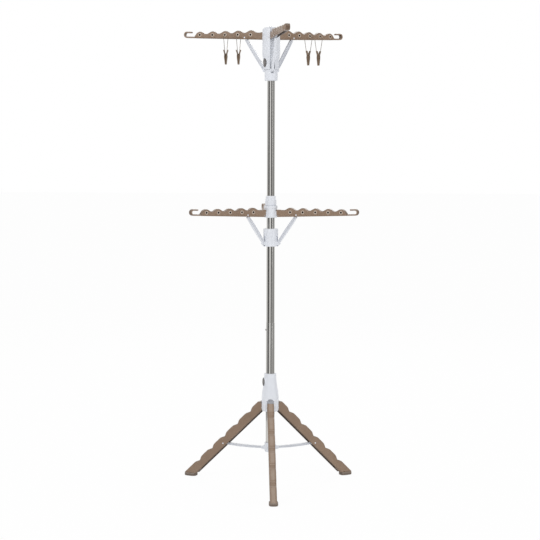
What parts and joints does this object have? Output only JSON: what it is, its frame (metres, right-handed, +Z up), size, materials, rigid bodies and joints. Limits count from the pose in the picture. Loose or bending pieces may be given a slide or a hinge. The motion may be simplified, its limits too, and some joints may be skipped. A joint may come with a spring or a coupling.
{
  "type": "clothes drying rack",
  "caption": "Tripod clothes drying rack: telescoped steel pole on folding legs, with two tiers of fold-down scalloped hanging arms held by strut runners and small clips.",
  "frame": {"origin": "on the floor, on the pole's axis", "axes": "+Z up along the pole; -Y is the side it is usually seen from"},
  "size_m": [0.6025, 0.666, 1.579],
  "materials": {
    "white_plastic": "satin",
    "tan_plastic": "satin",
    "grey_plastic": "satin",
    "pad_rubber": "matte",
    "pole_steel": "polished"
  },
  "bodies": {
    "base": {"base_hub": "white_plastic"},
    "base_button": {"base_button": "grey_plastic"},
    "pole": {"spreader": "white_plastic", "lower_tube": "pole_steel", "middle_tube": "pole_steel", "upper_tube": "pole_steel", "mid_hub": "white_plastic", "mid_collar": "white_plastic", "head": "white_plastic"},
    "snap_button": {"snap_button": "grey_plastic"},
    "mid_runner": {"mid_runner": "white_plastic"},
    "top_runner": {"top_runner": "white_plastic"},
    "top_button": {"top_button": "grey_plastic"},
    "front_leg": {"front_leg": "tan_plastic", "front_foot": "pad_rubber", "front_near_brace_stud": "white_plastic", "front_far_brace_stud": "white_plastic"},
    "front_brace": {"front_brace": "white_plastic"},
    "right_leg": {"right_leg": "tan_plastic", "right_foot": "pad_rubber", "right_near_brace_stud": "white_plastic", "right_far_brace_stud": "white_plastic"},
    "right_brace": {"right_brace": "white_plastic"},
    "left_leg": {"left_leg": "tan_plastic", "left_foot": "pad_rubber", "left_near_brace_stud": "white_plastic", "left_far_brace_stud": "white_plastic"},
    "left_brace": {"left_brace": "white_plastic"},
    "back_mid_arm": {"back_mid_arm": "tan_plastic", "back_mid_stud": "white_plastic"},
    "back_mid_strut": {"back_mid_strut": "white_plastic"},
    "left_mid_arm": {"left_mid_arm": "tan_plastic", "left_mid_stud": "white_plastic"},
    "left_mid_strut": {"left_mid_strut": "white_plastic"},
    "right_mid_arm": {"right_mid_arm": "tan_plastic", "right_mid_stud": "white_plastic"},
    "right_mid_strut": {"right_mid_strut": "white_plastic"},
    "front_top_arm": {"front_top_arm": "tan_plastic", "front_top_stud": "white_plastic"},
    "front_top_strut": {"front_top_strut": "white_plastic"},
    "right_top_arm": {"right_top_arm": "tan_plastic", "right_top_stud": "white_plastic"},
    "right_top_strut": {"right_top_strut": "white_plastic"},
    "left_top_arm": {"left_top_arm": "tan_plastic", "left_top_stud": "white_plastic"},
    "left_top_strut": {"left_top_strut": "white_plastic"},
    "clip_1": {"clip_1_bail": "pole_steel", "clip_1_inner_jaw": "tan_plastic"},
    "clip_1_jaw": {"clip_1_outer_jaw": "tan_plastic"},
    "clip_2": {"clip_2_bail": "pole_steel", "clip_2_inner_jaw": "tan_plastic"},
    "clip_2_jaw": {"clip_2_outer_jaw": "tan_plastic"},
    "clip_3": {"clip_3_bail": "pole_steel", "clip_3_inner_jaw": "tan_plastic"},
    "clip_3_jaw": {"clip_3_outer_jaw": "tan_plastic"},
    "clip_4": {"clip_4_bail": "pole_steel", "clip_4_inner_jaw": "tan_plastic"},
    "clip_4_jaw": {"clip_4_outer_jaw": "tan_plastic"}
  },
  "joints": [
    {"name": "pole_slide", "type": "slide", "parent": "base", "child": "pole", "axis": [0, 0, 1], "range_m": [0, 0.08534]},
    {"name": "base_button_press", "type": "slide", "parent": "base", "child": "base_button", "axis": [0.9063, 0.4226, 0], "range_m": [0, 0.0025], "stiffness_N_per_m": 800},
    {"name": "top_button_press", "type": "slide", "parent": "pole", "child": "top_button", "axis": [0.809, 0.5878, 0], "range_m": [0, 0.0025], "stiffness_N_per_m": 800},
    {"name": "snap_button_press", "type": "slide", "parent": "pole", "child": "snap_button", "axis": [0.9945, 0.1045, 0], "range_m": [0, 0.0022], "stiffness_N_per_m": 800},
    {"name": "mid_runner_slide", "type": "slide", "parent": "pole", "child": "mid_runner", "axis": [0, 0, -1], "range_m": [0, 0.08941]},
    {"name": "top_runner_slide", "type": "slide", "parent": "pole", "child": "top_runner", "axis": [0, 0, -1], "range_m": [0, 0.08756]},
    {"name": "front_leg_fold", "type": "hinge", "parent": "base", "child": "front_leg", "pos_m": [0.00088, -0.02398, 0.2703], "axis": [0.9993, 0.0366, 0], "range_deg": [0, 45.02]},
    {"name": "front_brace_fold", "type": "hinge", "parent": "pole", "child": "front_brace", "pos_m": [0.00095, -0.02598, 0.129], "axis": [0.9993, 0.0366, 0], "range_deg": [0, 86.56]},
    {"name": "right_leg_fold", "type": "hinge", "parent": "base", "child": "right_leg", "pos_m": [0.02033, 0.01275, 0.2703], "axis": [-0.5314, 0.8471, 0], "range_deg": [0, 45.02]},
    {"name": "right_brace_fold", "type": "hinge", "parent": "pole", "child": "right_brace", "pos_m": [0.02202, 0.01382, 0.129], "axis": [-0.5314, 0.8471, 0], "range_deg": [0, 86.56]},
    {"name": "left_leg_fold", "type": "hinge", "parent": "base", "child": "left_leg", "pos_m": [-0.02121, 0.01123, 0.2703], "axis": [-0.4679, -0.8838, 0], "range_deg": [0, 45.02]},
    {"name": "left_brace_fold", "type": "hinge", "parent": "pole", "child": "left_brace", "pos_m": [-0.02298, 0.01217, 0.129], "axis": [-0.4679, -0.8838, 0], "range_deg": [0, 86.56]},
    {"name": "back_mid_arm_fold", "type": "hinge", "parent": "pole", "child": "back_mid_arm", "pos_m": [-0.00243, 0.0309, 0.937], "axis": [-0.9969, -0.0785, 0], "range_deg": [0, 77.24]},
    {"name": "back_mid_strut_turn", "type": "hinge", "parent": "mid_runner", "child": "back_mid_strut", "pos_m": [-0.0022, 0.02791, 0.841], "axis": [0.9969, 0.0785, 0], "range_deg": [0, 25.99]},
    {"name": "left_mid_arm_fold", "type": "hinge", "parent": "pole", "child": "left_mid_arm", "pos_m": [-0.02555, -0.01756, 0.937], "axis": [0.5664, -0.8241, 0], "range_deg": [0, 77.24]},
    {"name": "left_mid_strut_turn", "type": "hinge", "parent": "mid_runner", "child": "left_mid_strut", "pos_m": [-0.02308, -0.01586, 0.841], "axis": [-0.5664, 0.8241, 0], "range_deg": [0, 25.99]},
    {"name": "right_mid_arm_fold", "type": "hinge", "parent": "pole", "child": "right_mid_arm", "pos_m": [0.02798, -0.01335, 0.937], "axis": [0.4305, 0.9026, 0], "range_deg": [0, 77.24]},
    {"name": "right_mid_strut_turn", "type": "hinge", "parent": "mid_runner", "child": "right_mid_strut", "pos_m": [0.02527, -0.01205, 0.841], "axis": [-0.4305, -0.9026, 0], "range_deg": [0, 25.99]},
    {"name": "front_top_arm_fold", "type": "hinge", "parent": "pole", "child": "front_top_arm", "pos_m": [0.00446, -0.02663, 1.54], "axis": [0.9863, 0.165, 0], "range_deg": [0, 77.24]},
    {"name": "front_top_strut_turn", "type": "hinge", "parent": "top_runner", "child": "front_top_strut", "pos_m": [0.0038, -0.02269, 1.43], "axis": [-0.9863, -0.165, 0], "range_deg": [0, 23.29]},
    {"name": "right_top_arm_fold", "type": "hinge", "parent": "pole", "child": "right_top_arm", "pos_m": [0.02083, 0.01717, 1.54], "axis": [-0.6361, 0.7716, 0], "range_deg": [0, 77.24]},
    {"name": "right_top_strut_turn", "type": "hinge", "parent": "top_runner", "child": "right_top_strut", "pos_m": [0.01775, 0.01463, 1.43], "axis": [0.6361, -0.7716, 0], "range_deg": [0, 23.29]},
    {"name": "left_top_arm_fold", "type": "hinge", "parent": "pole", "child": "left_top_arm", "pos_m": [-0.02529, 0.00946, 1.54], "axis": [-0.3502, -0.9367, 0], "range_deg": [0, 77.24]},
    {"name": "left_top_strut_turn", "type": "hinge", "parent": "top_runner", "child": "left_top_strut", "pos_m": [-0.02154, 0.00805, 1.43], "axis": [0.3502, 0.9367, 0], "range_deg": [0, 23.29]},
    {"name": "clip_1_swing", "type": "hinge", "parent": "left_top_arm", "child": "clip_1", "pos_m": [-0.15613, 0.05837, 1.55092], "axis": [0.3502, 0.9367, 0], "range_deg": [0, 66.93]},
    {"name": "clip_1_squeeze", "type": "hinge", "parent": "clip_1", "child": "clip_1_jaw", "pos_m": [-0.15613, 0.05837, 1.48692], "axis": [0.3502, 0.9367, 0], "range_deg": [0, 14], "stiffness_Nm_per_rad": 0.15},
    {"name": "clip_2_swing", "type": "hinge", "parent": "left_top_arm", "child": "clip_2", "pos_m": [-0.1121, 0.04191, 1.55017], "axis": [0.3502, 0.9367, 0], "range_deg": [0, 66.93]},
    {"name": "clip_2_squeeze", "type": "hinge", "parent": "clip_2", "child": "clip_2_jaw", "pos_m": [-0.1121, 0.04191, 1.48616], "axis": [0.3502, 0.9367, 0], "range_deg": [0, 14], "stiffness_Nm_per_rad": 0.15},
    {"name": "clip_3_swing", "type": "hinge", "parent": "right_top_arm", "child": "clip_3", "pos_m": [0.12862, 0.10602, 1.55092], "axis": [0.6361, -0.7716, 0], "range_deg": [0, 66.93]},
    {"name": "clip_3_squeeze", "type": "hinge", "parent": "clip_3", "child": "clip_3_jaw", "pos_m": [0.12862, 0.10602, 1.48692], "axis": [0.6361, -0.7716, 0], "range_deg": [0, 14], "stiffness_Nm_per_rad": 0.15},
    {"name": "clip_4_swing", "type": "hinge", "parent": "right_top_arm", "child": "clip_4", "pos_m": [0.16489, 0.13592, 1.55167], "axis": [0.6361, -0.7716, 0], "range_deg": [0, 66.93]},
    {"name": "clip_4_squeeze", "type": "hinge", "parent": "clip_4", "child": "clip_4_jaw", "pos_m": [0.16489, 0.13592, 1.48768], "axis": [0.6361, -0.7716, 0], "range_deg": [0, 14], "stiffness_Nm_per_rad": 0.15}
  ],
  "couplings": [
    {"joint": "front_leg_fold", "follows": "pole_slide", "rad_per_m": 9.2031},
    {"joint": "front_brace_fold", "follows": "pole_slide", "rad_per_m": 17.693},
    {"joint": "right_leg_fold", "follows": "pole_slide", "rad_per_m": 9.2031},
    {"joint": "right_brace_fold", "follows": "pole_slide", "rad_per_m": 17.693},
    {"joint": "left_leg_fold", "follows": "pole_slide", "rad_per_m": 9.2031},
    {"joint": "left_brace_fold", "follows": "pole_slide", "rad_per_m": 17.693},
    {"joint": "back_mid_arm_fold", "follows": "mid_runner_slide", "rad_per_m": 15.071},
    {"joint": "back_mid_strut_turn", "follows": "mid_runner_slide", "rad_per_m": 5.0701},
    {"joint": "left_mid_arm_fold", "follows": "mid_runner_slide", "rad_per_m": 15.071},
    {"joint": "left_mid_strut_turn", "follows": "mid_runner_slide", "rad_per_m": 5.0701},
    {"joint": "right_mid_arm_fold", "follows": "mid_runner_slide", "rad_per_m": 15.071},
    {"joint": "right_mid_strut_turn", "follows": "mid_runner_slide", "rad_per_m": 5.0701},
    {"joint": "front_top_arm_fold", "follows": "top_runner_slide", "rad_per_m": 15.388},
    {"joint": "front_top_strut_turn", "follows": "top_runner_slide", "rad_per_m": 4.6392},
    {"joint": "right_top_arm_fold", "follows": "top_runner_slide", "rad_per_m": 15.388},
    {"joint": "right_top_strut_turn", "follows": "top_runner_slide", "rad_per_m": 4.6392},
    {"joint": "left_top_arm_fold", "follows": "top_runner_slide", "rad_per_m": 15.388},
    {"joint": "left_top_strut_turn", "follows": "top_runner_slide", "rad_per_m": 4.6392},
    {"joint": "clip_1_swing", "follows": "top_runner_slide", "rad_per_m": 13.335},
    {"joint": "clip_2_swing", "follows": "top_runner_slide", "rad_per_m": 13.335},
    {"joint": "clip_3_swing", "follows": "top_runner_slide", "rad_per_m": 13.335},
    {"joint": "clip_4_swing", "follows": "top_runner_slide", "rad_per_m": 13.335}
  ]
}
